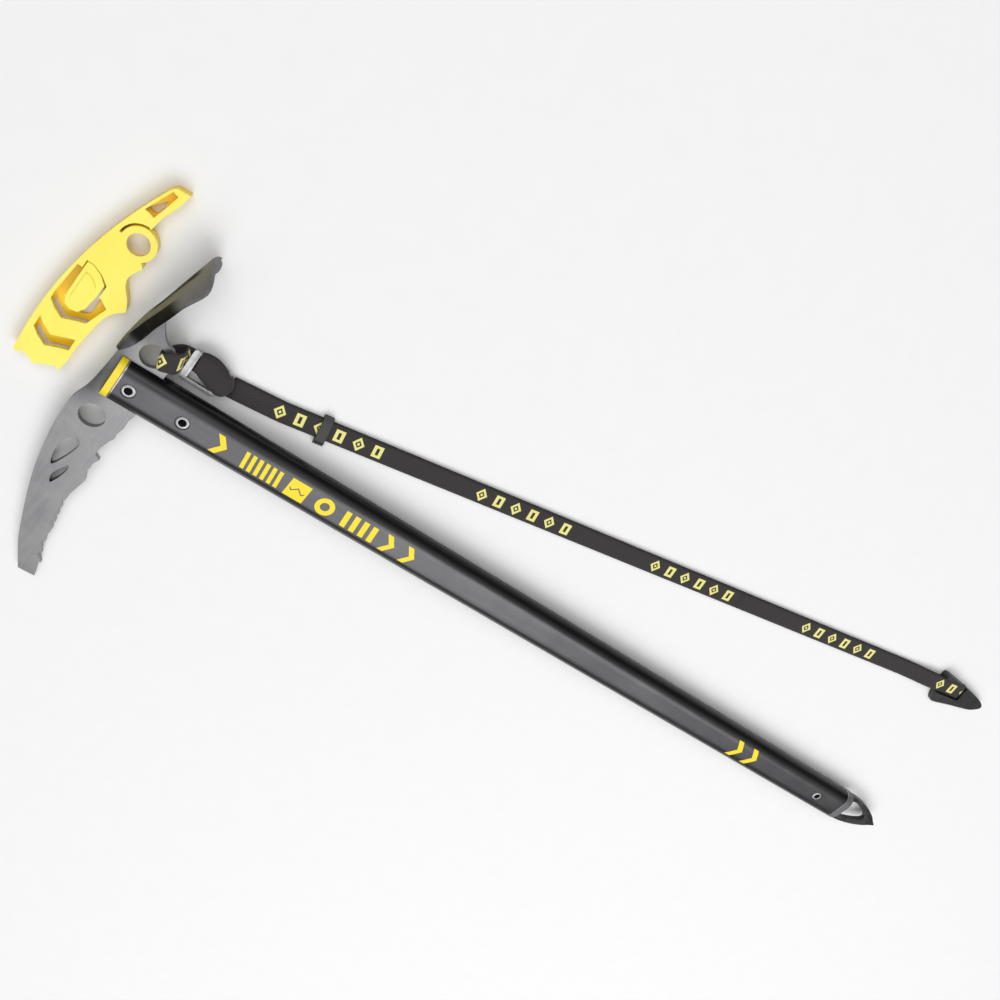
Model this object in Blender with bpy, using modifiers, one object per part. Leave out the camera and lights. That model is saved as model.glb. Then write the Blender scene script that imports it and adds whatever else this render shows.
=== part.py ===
"""Straight ice axe with a wrist leash and a slip-on pick guard.

The axe is drawn flat in its own frame, in millimetres: the spike's tip is the origin, x runs up
the shaft to the head, y points to the pick and z is the side that faces up. An empty lays it on
the floor, where it rests on the adze's lower corner, the pick's tip and the shaft's lower end.
The leash and the guard lie flat on the floor beside it.
"""

import math

import bmesh
import bpy
from mathutils import Matrix, Vector

MM = 0.001
GAP = 0.3                      # clearance between pieces that touch

# Where things lie on the floor, in millimetres
SPIKE_TIP_X = -393.65
SPIKE_TIP_Y = -24.1
SPIKE_TIP_Z = 9.10
REST_ROLL = -4.133             # degrees about the shaft, pick side down
REST_PITCH = -0.379            # degrees, head end up

# Shaft
SHAFT_WIDTH = 30.0
SHAFT_THICKNESS = 18.0
SHAFT_WALL = 1.5
SHAFT_FOOT = 54.7
SHAFT_TOP = 731.2
SLOT_BOTTOM = 709.0            # the head's shoulders stand in slots cut this far down
PLUG_WIDTH = SHAFT_WIDTH - 2 * (SHAFT_WALL + GAP)
PLUG_THICKNESS = SHAFT_THICKNESS - 2 * (SHAFT_WALL + GAP)

# Head
HEAD_THICKNESS = 3.8
TANG_FOOT = 670.0
TANG_HALF_WIDTH = 12.6
SHOULDER_PICK = 711.5
SHOULDER_ADZE = 710.5
EYE_CENTRE = (722.3, -24.4)
EYE_RADIUS = 7.8
ADZE_THICKNESS = 2.4

# Rivets: tubes with a rolled rim, let into a shallow counterbore
RIVET_X = (723.1, 688.1)
SPIKE_RIVET_X = 84.5
RIVET_RADIUS = 3.25
RIVET_BORE = 2.5
RIVET_RIM = 4.3
RIVET_RIM_THICKNESS = 0.6
COUNTERBORE_DEPTH = 0.9

# Spike and its collar
SPIKE_THICKNESS = 4.0
COLLAR_FOOT = 48.0
SHANK_HALF_WIDTH = 9.0
SHANK_TOP = 112.0
PLUG_TOP = 108.0

# Webbing of the leash
WEB_WIDTH = 14.0
WEB_THICKNESS = 1.4
STRAP_START = (675.0, -27.1)
STRAP_BEND = (640.0, -31.2)
STRAP_END = (54.0, -143.7)
STRAP_RISE_FROM = 118.0        # the strap climbs from here into the end cap
STRAP_RISE = 2.6
TACK_X = 283.0

# Pick guard
GUARD_THICKNESS = 9.0
GUARD_WALL = 2.2
GUARD_CREST = 787.3
RING_CENTRE = (760.5, -73.5)
RING_BORE = 6.5
BAND_PITCH = 20.2              # from one band's edge to the next, towards the wide end


# ---------------------------------------------------------------- outlines

def arc(centre, radius, start, end, steps):
    """Points on a circle from start to end degrees, both included."""
    angles = [math.radians(start + (end - start) * i / steps) for i in range(steps + 1)]
    return [(centre[0] + radius * math.cos(a), centre[1] + radius * math.sin(a)) for a in angles]


def circle(centre, radius, steps):
    return arc(centre, radius, 0, 360, steps)[:-1]


def smooth(points, steps=4):
    """A Catmull-Rom curve through points, which may have any number of coordinates."""
    ends = [points[0]] + list(points) + [points[-1]]
    result = []
    for a, b, c, d in zip(ends, ends[1:], ends[2:], ends[3:]):
        for i in range(steps):
            t = i / steps
            result.append(tuple(
                0.5 * (2 * q + (r - p) * t + (2 * p - 5 * q + 4 * r - s) * t * t
                       + (3 * q - p - 3 * r + s) * t ** 3)
                for p, q, r, s in zip(a, b, c, d)))
    return result + [tuple(points[-1])]


def oval(width, thickness, steps=10):
    """A flat-sided tube section: two straight flanks joined by half rounds."""
    r = thickness / 2
    half_flank = width / 2 - r
    return (arc((half_flank, 0), r, -90, 90, steps)
            + arc((-half_flank, 0), r, 90, 270, steps))


def half_oval(width, thickness, from_z, steps=8):
    """The part of that section above a line at height from_z."""
    r = thickness / 2
    half_flank = width / 2 - r
    low = math.degrees(math.asin(from_z / r))
    return (arc((half_flank, 0), r, low, 90, steps)
            + arc((-half_flank, 0), r, 90, 180 - low, steps))


def mirrored(half):
    """Closes an outline that is given for y >= 0 only."""
    return list(half) + [(x, -y) for x, y in reversed(half) if y > 0]


# ---------------------------------------------------------------- making objects

def clear_scene():
    for item in list(bpy.data.objects):
        bpy.data.objects.remove(item, do_unlink=True)
    for group in list(bpy.data.collections):
        bpy.data.collections.remove(group)


def new_collection(name):
    group = bpy.data.collections.new(name)
    bpy.context.scene.collection.children.link(group)
    return group


def new_material(name, colour, roughness, metallic=0.0):
    made = bpy.data.materials.new(name)
    made.use_nodes = True
    shader = made.node_tree.nodes["Principled BSDF"]
    shader.inputs["Base Color"].default_value = (*colour, 1.0)
    shader.inputs["Roughness"].default_value = roughness
    shader.inputs["Metallic"].default_value = metallic
    return made


def add(name, data, parent=None, group=None):
    item = bpy.data.objects.new(name, data)
    (group or PARTS).objects.link(item)
    item.parent = parent
    return item


def finish(item, look, sharp=35):
    """Gives a piece its material and shades its round stretches smooth."""
    item.data.materials.clear()
    item.data.materials.append(look)
    item.data.shade_smooth()
    item.data.set_sharp_from_angle(angle=math.radians(sharp))
    return item


def slab(name, loops, low, high, parent=None, group=None):
    """A flat outline with holes, extruded along z from low to high, as a mesh."""
    flat = bpy.data.curves.new(name, "CURVE")
    flat.dimensions = "2D"
    flat.fill_mode = "BOTH"
    flat.extrude = (high - low) / 2 * MM
    for loop in loops:
        line = flat.splines.new("POLY")
        line.points.add(len(loop) - 1)
        for point, place in zip(line.points, loop):
            point.co = (place[0] * MM, place[1] * MM, 0, 1)
        line.use_cyclic_u = True
    drawn = add(name + "_outline", flat, None, group)
    bpy.context.view_layer.update()
    shape = bpy.data.meshes.new_from_object(drawn.evaluated_get(bpy.context.evaluated_depsgraph_get()))
    bpy.data.objects.remove(drawn)
    weld(shape)
    shape.transform(Matrix.Translation((0, 0, (high + low) / 2 * MM)))
    return add(name, shape, parent, group)


def weld(shape):
    work = bmesh.new()
    work.from_mesh(shape)
    bmesh.ops.remove_doubles(work, verts=work.verts, dist=0.00001)
    bmesh.ops.recalc_face_normals(work, faces=work.faces)
    work.to_mesh(shape)
    work.free()


def stand_along_x(item):
    """Turns a slab drawn in (y, z) so that its thickness runs along x."""
    item.data.transform(Matrix(((0, 0, 1, 0), (1, 0, 0, 0), (0, 1, 0, 0), (0, 0, 0, 1))))
    return item


def prism(name, section, x_low, x_high, parent=None, group=None):
    """A section in (y, z) carried along x."""
    return stand_along_x(slab(name, [section], x_low, x_high, parent, group))


def block(name, low, high, parent=None):
    """A box-shaped cutter between two corners."""
    shape = bpy.data.meshes.new(name)
    work = bmesh.new()
    bmesh.ops.create_cube(work, size=1.0)
    size = [(b - a) * MM for a, b in zip(low, high)]
    middle = [(a + b) / 2 * MM for a, b in zip(low, high)]
    bmesh.ops.scale(work, vec=size, verts=work.verts)
    bmesh.ops.translate(work, vec=middle, verts=work.verts)
    work.to_mesh(shape)
    work.free()
    return add(name, shape, parent, CUTTERS)


def drill(name, x, y, radius, low, high, parent=None, steps=24):
    """A round cutter along z."""
    shape = bpy.data.meshes.new(name)
    work = bmesh.new()
    bmesh.ops.create_cone(work, cap_ends=True, segments=steps, radius1=radius * MM,
                          radius2=radius * MM, depth=(high - low) * MM)
    bmesh.ops.translate(work, vec=(x * MM, y * MM, (high + low) / 2 * MM), verts=work.verts)
    work.to_mesh(shape)
    work.free()
    return add(name, shape, parent, CUTTERS)


def combine(item, other, how="DIFFERENCE"):
    """Cuts with, or joins to, another object. The change is applied to the mesh."""
    for tool in (item, other):
        weld(tool.data)
    change = item.modifiers.new(how.lower(), "BOOLEAN")
    change.operation = how
    change.solver = "EXACT"
    change.object = other
    bpy.context.view_layer.update()
    result = bpy.data.meshes.new_from_object(item.evaluated_get(bpy.context.evaluated_depsgraph_get()))
    item.modifiers.remove(change)
    item.data = result
    if how == "UNION":
        bpy.data.objects.remove(other)
    else:
        other.hide_render = True
        other.display_type = "WIRE"
    return item


def round_edges(item, width, segments=2, angle=40):
    bevel = item.modifiers.new("rounding", "BEVEL")
    bevel.width = width * MM
    bevel.segments = segments
    bevel.limit_method = "ANGLE"
    bevel.angle_limit = math.radians(angle)
    return item


def ribbon(name, stations, thickness, parent=None, across=2, crown=0.0, side=None):
    """Webbing along a path. A station is (x, y, z, half width); the width lies in the floor plane,
    square to the path or along side, and crown lifts the middle above the edges."""
    work = bmesh.new()
    rows = []
    for i, (x, y, z, half) in enumerate(stations):
        before = stations[max(i - 1, 0)]
        after = stations[min(i + 1, len(stations) - 1)]
        square = side or Vector((before[1] - after[1], after[0] - before[0])).normalized()
        row = []
        for k in range(across + 1):
            u = 2 * k / across - 1
            lift = crown * (1 - u * u)
            row.append(work.verts.new(((x + square[0] * half * u) * MM,
                                       (y + square[1] * half * u) * MM, (z + lift) * MM)))
        rows.append(row)
    for low, high in zip(rows, rows[1:]):
        for k in range(across):
            work.faces.new((low[k], low[k + 1], high[k + 1], high[k]))
    shape = bpy.data.meshes.new(name)
    work.to_mesh(shape)
    work.free()
    item = add(name, shape, parent)
    skin = item.modifiers.new("thickness", "SOLIDIFY")
    skin.thickness = thickness * MM
    skin.offset = 0.0
    return item


# ---------------------------------------------------------------- head, shaft and spike

def tooth_row(start, end, count, depth):
    """Saw teeth along a straight edge, steep side towards the shaft."""
    points = []
    for i in range(count):
        a, b = i / count, (i + 1) / count
        x0 = start[0] + (end[0] - start[0]) * a
        y0 = start[1] + (end[1] - start[1]) * a
        x1 = start[0] + (end[0] - start[0]) * b
        y1 = start[1] + (end[1] - start[1]) * b
        points += [(x0, y0), (x1 + depth, y1 + 0.9)]
    return points + [end]


def gullet(x, y, radius=1.5):
    """A small round notch in the pick's lower edge, walked from the tip towards the shaft."""
    return arc((x, y), radius, 60, -110, 4)


def head_outline():
    spine = smooth([(739.4, -18), (741, 0), (743, 15), (746.4, 26), (747.3, 38), (746.5, 55),
                    (743.2, 80), (738.8, 100), (733.2, 120), (726.8, 140), (717.2, 161.4)], 4)
    underside = [(706, 161.9)]
    for x, y in ((707.8, 151), (710.6, 143.5), (712.8, 134)):
        underside += gullet(x, y)
    underside += [(713.8, 128)]
    underside += tooth_row((713.4, 120.5), (717.0, 96), 4, 1.5)
    underside += [(716.5, 89), (714.6, 79.5), (713.8, 75.5), (716.2, 69), (715.6, 61), (713.9, 57),
                  (717.8, 54.5), (717.6, 49), (715.2, 41), (713.6, 38), (714, 34), (712.7, 28),
                  (712.9, 22), (SHOULDER_PICK, 17)]
    tang = [(SHOULDER_PICK, TANG_HALF_WIDTH), (TANG_FOOT + 3, TANG_HALF_WIDTH),
            (TANG_FOOT, TANG_HALF_WIDTH - 3), (TANG_FOOT, 3 - TANG_HALF_WIDTH),
            (TANG_FOOT + 3, -TANG_HALF_WIDTH), (SHOULDER_ADZE, -TANG_HALF_WIDTH)]
    web = smooth([(SHOULDER_ADZE, -17), (709.8, -24), (711.2, -30), (714.4, -34), (719.6, -36.0),
                  (723.4, -40.4), (726.6, -46), (731, -53.5)], 3)
    below_adze = [(732.6, -49), (735.2, -40), (736.9, -30)]
    return spine + underside + tang + web + below_adze


def head_holes():
    teardrop = smooth([(732, 49.7), (728.9, 51.8), (728.2, 56.5), (731.2, 67), (735.4, 76.2),
                       (737.6, 70.5), (738.2, 63), (736.2, 54), (732, 49.7)], 3)[:-1]
    slit = smooth([(727, 70.9), (725.8, 73.5), (727.2, 81.5), (730.4, 88.8), (732, 81.5),
                   (727, 70.9)], 3)[:-1]
    rivets = [circle((x, 0), RIVET_RADIUS + GAP, 20) for x in RIVET_X]
    return [circle((731.7, 31.1), 8.05, 28), teardrop, slit,
            circle(EYE_CENTRE, EYE_RADIUS, 28)] + rivets


def adze_blade(parent):
    """The adze: an arched blade across the plate, square to it, that widens to a rounded edge."""
    # along y: crest height x, half width; the side edges droop with the square of the width
    stations = smooth([(-17, 739.3, 1.2, 1.0), (-24, 738.9, 2.7, 4.4), (-32, 737.9, 4.6, 5.9),
                       (-44, 735.8, 8.4, 6.0), (-56, 732.3, 12.8, 5.6), (-68, 729.3, 16.4, 5.3),
                       (-76, 727.4, 17.7, 6.6), (-84, 725.4, 18.05, 7.6), (-90, 723.9, 16.2, 5.6),
                       (-94, 722.8, 11.6, 2.7), (-96.2, 722.2, 5.2, 0.6)], 2)
    across = 12
    work = bmesh.new()
    root, length = stations[0][0], stations[-1][0] - stations[0][0]
    rows = []
    for y, crest, half, droop in stations:
        share = (y - root) / length
        row = []
        for k in range(across + 1):
            u = 2 * k / across - 1
            pull = 2.0 * u * u * share ** 3
            row.append(work.verts.new(((crest - droop * u * u) * MM, (y + pull) * MM,
                                       u * half * MM)))
        rows.append(row)
    for low, high in zip(rows, rows[1:]):
        for k in range(across):
            work.faces.new((low[k], high[k], high[k + 1], low[k + 1]))
    shape = bpy.data.meshes.new("adze_blade")
    work.to_mesh(shape)
    work.free()
    blade = add("adze_blade", shape, parent)
    keen = blade.vertex_groups.new(name="thickness")
    last = len(stations) - 1
    for i in range(len(stations)):
        weight = 0.35 if i == last else 0.8 if i == last - 1 else 1.0
        keen.add([i * (across + 1) + k for k in range(across + 1)], weight, "REPLACE")
    skin = blade.modifiers.new("thickness", "SOLIDIFY")
    skin.thickness = ADZE_THICKNESS * MM
    skin.offset = -1.0
    skin.vertex_group = "thickness"
    bpy.context.view_layer.update()
    blade.data = bpy.data.meshes.new_from_object(
        blade.evaluated_get(bpy.context.evaluated_depsgraph_get()))
    blade.modifiers.clear()
    return blade


def make_head(parent, steel):
    half = HEAD_THICKNESS / 2
    head = slab("head", [head_outline()] + head_holes(), -half, half, parent)
    combine(head, adze_blade(parent), "UNION")
    return finish(head, steel)


def make_shaft(parent, alloy):
    outer = oval(SHAFT_WIDTH, SHAFT_THICKNESS, 12)
    inner = oval(SHAFT_WIDTH - 2 * SHAFT_WALL, SHAFT_THICKNESS - 2 * SHAFT_WALL, 12)
    shaft = stand_along_x(slab("shaft", [outer, inner], SHAFT_FOOT, SHAFT_TOP, parent))
    slot_half = HEAD_THICKNESS / 2 + GAP
    combine(shaft, block("head_slot", (SLOT_BOTTOM, -20, -slot_half), (740, 20, slot_half), parent))
    face = SHAFT_THICKNESS / 2
    for i, x in enumerate((*RIVET_X, SPIKE_RIVET_X)):
        combine(shaft, drill(f"rivet_hole_{i}", x, 0, RIVET_RADIUS + GAP, -15, 15, parent))
        for side in (-1, 1):
            low, high = sorted((side * (face - COUNTERBORE_DEPTH), side * (face + 2)))
            bore = drill(f"rivet_counterbore_{i}_{side}", x, 0, RIVET_RIM + GAP, low, high, parent)
            combine(shaft, bore)
    return finish(shaft, alloy)


def make_head_plugs(parent, plastic):
    """Two half plugs that fill the shaft each side of the tang, with a domed lip on top."""
    split = HEAD_THICKNESS / 2 + GAP
    halves = []
    for name, turn in (("head_plug_front", 0), ("head_plug_rear", 180)):
        body = prism(name, half_oval(PLUG_WIDTH, PLUG_THICKNESS, split), TANG_FOOT + 2,
                     SHAFT_TOP + 1, parent)
        lip = prism(name + "_lip", half_oval(SHAFT_WIDTH, SHAFT_THICKNESS, split),
                    SHAFT_TOP + GAP, SHAFT_TOP + 4.4, parent)
        round_edges(lip, 1.6, 3, 60)
        bpy.context.view_layer.update()
        lip.data = bpy.data.meshes.new_from_object(
            lip.evaluated_get(bpy.context.evaluated_depsgraph_get()))
        lip.modifiers.clear()
        combine(body, lip, "UNION")
        for i, x in enumerate(RIVET_X):
            combine(body, drill(f"{name}_hole_{i}", x, 0, RIVET_RADIUS + GAP, -15, 15, parent))
        body.rotation_euler.x = math.radians(turn)
        halves.append(finish(body, plastic))
    return halves


def rivet_mesh(name):
    """A tubular rivet along z, turned from its closed profile."""
    top = SHAFT_THICKNESS / 2 - COUNTERBORE_DEPTH + GAP
    rim = top + RIVET_RIM_THICKNESS
    profile = [(RIVET_BORE, rim + 0.1), (3.4, rim + 0.25), (RIVET_RIM, rim - 0.1), (RIVET_RIM, top),
               (RIVET_RADIUS, top)]
    profile += [(r, -z) for r, z in reversed(profile)]
    work = bmesh.new()
    ring = [work.verts.new((r * MM, 0, z * MM)) for r, z in profile]
    for a, b in zip(ring, ring[1:] + ring[:1]):
        work.edges.new((a, b))
    shape = bpy.data.meshes.new(name)
    work.to_mesh(shape)
    work.free()
    turned = add(name, shape)
    screw = turned.modifiers.new("turning", "SCREW")
    screw.steps = screw.render_steps = 20
    screw.merge_threshold = 0.0001
    screw.use_merge_vertices = True
    bpy.context.view_layer.update()
    made = bpy.data.meshes.new_from_object(
        turned.evaluated_get(bpy.context.evaluated_depsgraph_get()))
    bpy.data.objects.remove(turned)
    weld(made)
    return made


def make_rivets(parent, steel):
    shape = rivet_mesh("rivet")
    places = (("head_rivet_upper", RIVET_X[0]), ("head_rivet_lower", RIVET_X[1]),
              ("spike_rivet", SPIKE_RIVET_X))
    for name, x in places:
        rivet = finish(add(name, shape, parent), steel)
        rivet.location.x = x * MM


def make_spike(parent, steel):
    blade = smooth([(0, 0.7), (4, 2.7), (10, 6.6), (20, 10.8), (30, 13.3), (38, 14.4),
                    (COLLAR_FOOT - GAP, 14.7)], 3)
    shank = [(COLLAR_FOOT - GAP, SHANK_HALF_WIDTH), (SHANK_TOP, SHANK_HALF_WIDTH)]
    eye = smooth([(15.5, 0), (17, 2.4), (22, 5.4), (30, 8.4), (38, 10.4), (42.5, 9.6),
                  (43.8, 6)], 3)
    half = SPIKE_THICKNESS / 2
    rivet = circle((SPIKE_RIVET_X, 0), RIVET_RADIUS + GAP, 20)
    spike = slab("spike", [mirrored(blade + shank), mirrored(eye), rivet], -half, half, parent)
    return finish(spike, steel)


def make_collar(parent, plastic):
    """The grey plug in the shaft's foot, with the spike's shank through it."""
    collar = prism("spike_collar", oval(SHAFT_WIDTH, SHAFT_THICKNESS, 10), COLLAR_FOOT,
                   SHAFT_FOOT - GAP, parent)
    round_edges(collar, 1.4, 3, 60)
    bpy.context.view_layer.update()
    collar.data = bpy.data.meshes.new_from_object(
        collar.evaluated_get(bpy.context.evaluated_depsgraph_get()))
    collar.modifiers.clear()
    plug = prism("collar_plug", oval(PLUG_WIDTH, PLUG_THICKNESS, 8), SHAFT_FOOT - 2, PLUG_TOP,
                 parent)
    combine(collar, plug, "UNION")
    slot_half = SPIKE_THICKNESS / 2 + GAP
    slot = block("shank_slot", (40, -SHANK_HALF_WIDTH - GAP, -slot_half),
                 (SHANK_TOP + 5, SHANK_HALF_WIDTH + GAP, slot_half), parent)
    combine(collar, slot)
    combine(collar, drill("collar_rivet_hole", SPIKE_RIVET_X, 0, RIVET_RADIUS + GAP, -15, 15,
                          parent))
    return finish(collar, plastic)


# ---------------------------------------------------------------- leash

def strap_point(x):
    """The strap's centreline on the floor at a distance x up the axe."""
    if x > STRAP_BEND[0]:
        share = (x - STRAP_BEND[0]) / (STRAP_START[0] - STRAP_BEND[0])
        return STRAP_BEND[1] + (STRAP_START[1] - STRAP_BEND[1]) * share
    share = (x - STRAP_BEND[0]) / (STRAP_END[0] - STRAP_BEND[0])
    return STRAP_BEND[1] + (STRAP_END[1] - STRAP_BEND[1]) * share


def strap_height(x):
    """How far the strap has climbed towards the end cap at x."""
    share = min(max((STRAP_RISE_FROM - x) / (STRAP_RISE_FROM - 82.0), 0.0), 1.0)
    return STRAP_RISE * share * share * (3 - 2 * share)


def make_straps(parent, webbing):
    stops = [STRAP_START[0], 664, 652, 640, 560, 480, 400, 320, 240, 160, STRAP_RISE_FROM, 109, 100,
             91, 82, 68, STRAP_END[0]]
    for name, layer in (("leash_strap_lower", 0), ("leash_strap_upper", 1)):
        middle = 0.1 + WEB_THICKNESS / 2 + layer * (WEB_THICKNESS + GAP)
        stations = [(x, strap_point(x), middle + strap_height(x), WEB_WIDTH / 2) for x in stops]
        finish(ribbon(name, stations, WEB_THICKNESS, parent), webbing)


def make_anchor(parent, webbing):
    """The webbing loop through the head's eye: one run over the plate's rim, one run under it."""
    half = WEB_WIDTH / 2
    path = smooth([(698.4, -29.8, 0.85, half - 1), (704.5, -29.6, 0.9, half - 1),
                   (709.2, -29.2, 3.0, half - 0.8), (713.4, -28.2, 7.4, half - 1.0),
                   (716.4, -26.4, 10.2, half - 1.6), (718.4, -24.9, 12.8, half - 2.0),
                   (718.6, -24.7, 17.6, half - 2.0), (717.2, -25.2, 20.0, half - 1.2),
                   (714.0, -27.2, 21.0, half - 0.4), (709.0, -29.2, 20.0, half),
                   (707.0, -29.8, 15.0, half), (706.7, -29.8, 8.5, half),
                   (706.7, -29.8, 4.4, half - 0.4), (705.0, -29.6, 2.7, half - 0.8),
                   (702.0, -29.4, 2.5, half - 0.8), (684.6, -27.4, 2.5, half - 0.8)], 3)
    loop = ribbon("leash_anchor_loop", path, WEB_THICKNESS, parent, side=(0.21, -0.978))
    return finish(loop, webbing)


def make_buckle(parent, steel):
    """A steel slide: a rectangular frame whose upper bar is broad."""
    x_low, x_high = 681.0, 704.3
    y_low, y_high = -38.2, -16.8
    outer = []
    for centre, start in (((x_high - 2, y_high - 2), 0), ((x_low + 2, y_high - 2), 90),
                          ((x_low + 2, y_low + 2), 180), ((x_high - 2, y_low + 2), 270)):
        outer += arc(centre, 2.0, start, start + 90, 4)
    window = [(x_high - 4.6, y_high - 2.6), (x_high - 4.6, y_low + 2.2), (x_low + 3, y_low + 2.2),
              (x_low + 3, y_high - 2.6)]
    frame = slab("leash_buckle", [outer, window], 4.2, 6.9, parent)
    round_edges(frame, 0.6, 2, 50)
    return finish(frame, steel)


def make_fold(parent, webbing):
    """The webbing's turn over the slide, a crowned lobe that runs out into the strap."""
    stations = smooth([(699.2, -33.2, 8.7, 6.4), (696.0, -32.8, 8.8, 8.2), (690.0, -31.8, 8.9, 9.6),
                       (684.0, -30.0, 8.9, 9.8), (681.0, -29.0, 8.8, 8.9),
                       (678.4, -28.2, 8.0, 7.8), (677.3, -27.8, 6.0, 7.2),
                       (677.1, -27.6, 3.4, 7.0)], 3)
    lobe = ribbon("leash_fold", stations, 1.8, parent, across=8, crown=3.0, side=(0.12, -0.993))
    return finish(lobe, webbing)


def make_keeper(parent, rubber):
    """The slider that closes the loop on the wrist: a sleeve with a ribbed grip on one side."""
    direction = math.atan2(STRAP_END[1] - STRAP_BEND[1], STRAP_END[0] - STRAP_BEND[0])
    turn = direction - math.pi
    pivot = bpy.data.objects.new("keeper_axis", None)
    PARTS.objects.link(pivot)
    pivot.parent = parent
    x = 613.0
    pivot.location = (x * MM, strap_point(x) * MM, 0)
    pivot.rotation_euler.z = turn
    inside = WEB_WIDTH / 2 + 0.4
    stack = 0.1 + 2 * WEB_THICKNESS + GAP
    section = [(-inside - 2.0, 0.05), (inside + 1.6, 0.05), (inside + 4.6, 0.6),
               (inside + 4.2, 2.6), (inside + 1.4, 5.2), (inside - 0.4, 5.6),
               (1.6 - inside, 5.6), (-inside - 2.0, 4.4)]
    keeper = stand_along_x(slab("leash_keeper", [section], -3.3, 3.3, pivot))
    combine(keeper, block("keeper_bore", (-8, -inside, -0.2), (8, inside, stack + 0.5), pivot))
    for i in range(3):
        x_rib = 2.0 * (i - 1)
        groove = block(f"keeper_groove_{i}", (x_rib - 0.5, inside + 2.9, 1.4),
                       (x_rib + 0.5, inside + 8, 6), pivot)
        combine(keeper, groove)
    return finish(keeper, rubber)


def make_end_cap(parent, rubber):
    """The moulded point that closes the leash, with the strap let into its top."""
    outline = smooth([(80.4, -146.5), (79.6, -150.2), (70, -150.4), (50, -149.3), (34, -147.8),
                      (25.5, -145.6), (22.6, -142.8), (25.5, -139.2), (34, -134.4), (50, -128.6),
                      (61, -124), (66.4, -122.6), (71, -124.6), (75, -130.6)], 3)
    cap = slab("leash_end_cap", [outline], 0.1, 8.2, parent)
    slope = math.radians(26)
    trim = block("cap_slope", (-70, 0, 0), (70, 40, 20), parent)
    trim.matrix_basis = (Matrix.Translation((52 * MM, -134.5 * MM, 6.9 * MM))
                         @ Matrix.Rotation(math.radians(11.5), 4, "Z")
                         @ Matrix.Rotation(-slope, 4, "X"))
    combine(cap, trim)
    nose = block("cap_nose", (-60, -40, 0), (0, 40, 20), parent)
    nose.matrix_basis = (Matrix.Translation((56 * MM, -142 * MM, 8.0 * MM))
                         @ Matrix.Rotation(math.radians(-6), 4, "Y"))
    combine(cap, nose)
    pocket = block("cap_pocket", (STRAP_END[0] - 0.6, -WEB_WIDTH / 2 - 0.4, 2.3),
                   (95, WEB_WIDTH / 2 + 0.4, 10), parent)
    heading = math.atan2(STRAP_BEND[1] - STRAP_END[1], STRAP_BEND[0] - STRAP_END[0])
    foot = Vector((STRAP_END[0] * MM, STRAP_END[1] * MM, 0))
    pocket.matrix_basis = (Matrix.Translation(foot) @ Matrix.Rotation(heading, 4, "Z")
                           @ Matrix.Translation((-STRAP_END[0] * MM, 0, 0)))
    combine(cap, pocket)
    round_edges(cap, 0.7, 2, 50)
    return finish(cap, rubber)


def make_bar_tack(parent, thread):
    """The dense stitching across the strap that fixes its two layers together."""
    heading = math.atan2(STRAP_BEND[1] - STRAP_END[1], STRAP_BEND[0] - STRAP_END[0])
    top = 0.1 + 2 * WEB_THICKNESS + GAP
    half = WEB_WIDTH / 2 - 1
    outline = [(-1.4, -half), (1.4, -half), (1.4, half), (-1.4, half)]
    tack = slab("leash_bar_tack", [outline], top + GAP, top + GAP + 0.5, parent)
    tack.location = (TACK_X * MM, strap_point(TACK_X) * MM, 0)
    tack.rotation_euler.z = heading
    return finish(tack, thread)


# ---------------------------------------------------------------- pick guard

def crest(y):
    """The guard's long convex edge."""
    return GUARD_CREST - 0.00203 * (y - 2) ** 2


def band_edge(shift):
    """The arrow-shaped edge of a band across the guard, from its convex edge inwards."""
    return [(x, y + shift) for x, y in ((783.6, -18), (780, -14.6), (773.8, -10.8), (766, -14.2),
                                        (761.4, -15.8))]


def guard_outline():
    back = [(crest(y), y) for y in range(-110, 21, 10)]
    wide_end = [(786.3, 21.6), (783.4, 21.6), (783, 19.4), (778.6, 20.6), (773.5, 23.4),
                (768, 19.8), (762.6, 17.2), (762, 18.6), (760.2, 18.4)]
    belly = smooth([(759, 10), (758.6, 0), (757.2, -12), (755.4, -23), (752.4, -29.6),
                    (747.2, -34.6)], 3)
    jaw = smooth([(747.2, -35.6), (750.2, -42), (755, -49), (755.6, -55), (752, -62.5)], 3)
    ring = arc(RING_CENTRE, 10.2, 127, 262, 9)
    slit_out = [(759.6, -84.4)]
    arm = [(758.9, -86.6), (757.4, -95), (753.6, -104), (751.6, -113.4), (759.6, -112.6)]
    return back + wide_end + belly + jaw + ring + slit_out + arm


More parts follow.
